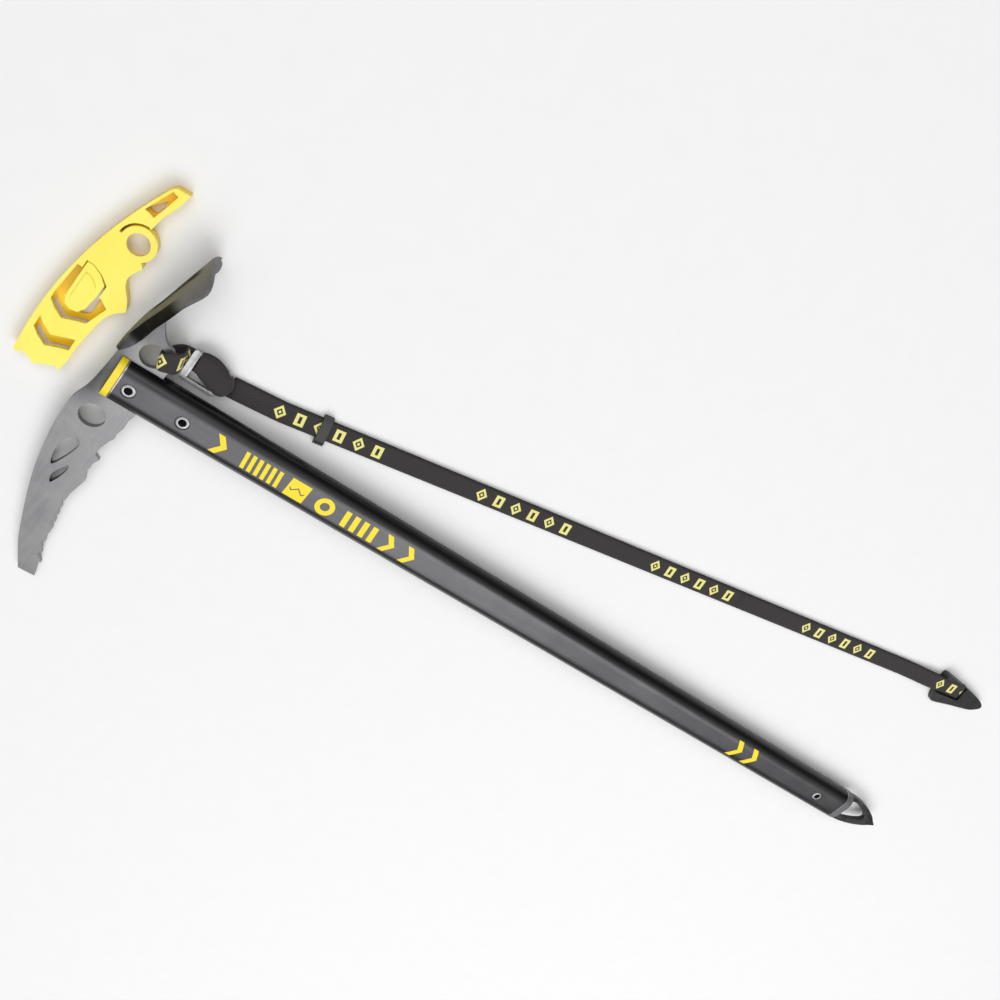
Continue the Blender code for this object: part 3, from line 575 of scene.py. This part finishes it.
def build_anchor(webbing):
    """The loop of webbing through the head's eye, from the slide's bar and back."""
    half = WEB_WIDTH / 2
    path = catmull([(698.4, -29.8, 0.85, half - 1), (704.5, -29.6, 0.9, half - 1),
                    (709.2, -29.2, 3.0, half - 0.8), (713.4, -28.2, 7.4, half - 1.0),
                    (716.4, -26.4, 10.2, half - 1.6), (718.4, -24.9, 12.8, half - 2.0),
                    (718.6, -24.7, 17.6, half - 2.0), (717.2, -25.2, 20.0, half - 1.2),
                    (714.0, -27.2, 21.0, half - 0.4), (709.0, -29.2, 20.0, half),
                    (707.0, -29.8, 15.0, half), (706.7, -29.8, 8.5, half),
                    (706.7, -29.8, 4.4, half - 0.4), (705.0, -29.6, 2.7, half - 0.8),
                    (702.0, -29.4, 2.5, half - 0.8), (684.6, -27.4, 2.5, half - 0.8)], 6)
    centres = [floor_point(*p[:3]) for p in path]
    halves = [p[3] * MM for p in path]
    loop = tape("anchor_loop", centres, halves, (0.21, -0.978, 0), WEB_THICKNESS * MM, webbing)
    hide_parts("leash_anchor_loop")
    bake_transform(loop)
    return loop


def build_fold(webbing):
    """The webbing's turn over the slide: a crowned lobe that runs out into the strap."""
    path = catmull([(699.2, -33.2, 8.7, 6.4), (696.0, -32.8, 8.8, 8.2), (690.0, -31.8, 8.9, 9.6),
                    (684.0, -30.0, 8.9, 9.8), (681.0, -29.0, 8.8, 8.9), (678.4, -28.2, 8.0, 7.8),
                    (677.3, -27.8, 6.0, 7.2), (677.1, -27.6, 3.6, 7.0)], 5)
    centres = [floor_point(*p[:3]) for p in path]
    halves = [p[3] * MM for p in path]
    fold = tape("fold", centres, halves, (0.12, -0.993, 0), 1.6 * MM, webbing, crown=3.0 * MM,
                across=16)
    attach(fold, "leash")
    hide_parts("leash_fold")
    return fold


def build_tack(thread):
    """Bar tack: two dense rows of stitches across the strap."""
    work = bmesh.new()
    heading = Vector((STRAP_BEND[0] - STRAP_END[0], STRAP_BEND[1] - STRAP_END[1], 0)).normalized()
    side = Vector((-heading.y, heading.x, 0))
    top = (0.1 + 2 * WEB_THICKNESS + WEB_CLEARANCE + 0.12) * MM
    middle = floor_point(TACK_X, strap_point(TACK_X))
    stitches = 22
    for i in range(stitches):
        v = (i / (stitches - 1) - 0.5) * (WEB_WIDTH - 2.4) * MM
        for row in (-0.8, 0.8):
            lean = 0.25 if i % 2 else -0.25
            centre = middle + side * v + heading * row * MM + Vector((0, 0, top))
            made = bmesh.ops.create_uvsphere(work, u_segments=8, v_segments=5, radius=1)
            turn = Matrix.Rotation(math.atan2(heading.y, heading.x) + lean, 4, "Z")
            size = Matrix.Diagonal((0.85 * MM, 0.26 * MM, 0.2 * MM, 1))
            bmesh.ops.transform(work, matrix=Matrix.Translation(centre) @ turn @ size,
                                verts=made["verts"])
    for face in work.faces:
        face.smooth = True
    shape = bpy.data.meshes.new("bar_tack")
    work.to_mesh(shape)
    work.free()
    shape.materials.append(thread)
    tack = bpy.data.objects.new("bar_tack", shape)
    bpy.context.scene.collection.objects.link(tack)
    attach(tack, "leash")
    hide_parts("leash_bar_tack")
    return tack


# ---------------------------------------------------------------- putting it together

place_camera()
build_studio()

webbing = webbing_look("webbing")
plain_webbing = webbing_look("webbing_plain", motif=False)
steel = bright_steel_look()
rubber = plastic_look("moulded_rubber", (0.016, 0.016, 0.017), (0.030, 0.030, 0.031), (0.42, 0.58))

straps = build_straps(webbing)
anchor = build_anchor(webbing)
fold = build_fold(plain_webbing)
tack = build_tack(plastic_look("thread", (0.03, 0.03, 0.03), (0.06, 0.06, 0.06), (0.6, 0.8)))
dress("leash_buckle", steel, 0.2)
dress("leash_keeper", rubber, 0.3)
dress("leash_end_cap", rubber, 0.4, 3)

yellow = plastic_look("yellow_plastic", (0.92, 0.70, 0.012), (0.97, 0.77, 0.03))
guard = guard_look()
dress("head", forged_look(), 0.3)
dress("shaft", anodised_look(), 0.2)
dress("head_plug_front", yellow, 0.15)
dress("head_plug_rear", yellow, 0.15)
for rivet in ("head_rivet_upper", "head_rivet_lower", "spike_rivet"):
    dress(rivet, steel, 0.1)
dress("spike", dark_steel_look(), 0.5, 3)
dress("spike_collar", plastic_look("collar_plastic", (0.10, 0.10, 0.105), (0.15, 0.15, 0.155),
                                   (0.4, 0.55)), 0.2)
dress("pick_guard", guard, 0.35, 3)
dress("guard_latch", guard, 0.3, 3)
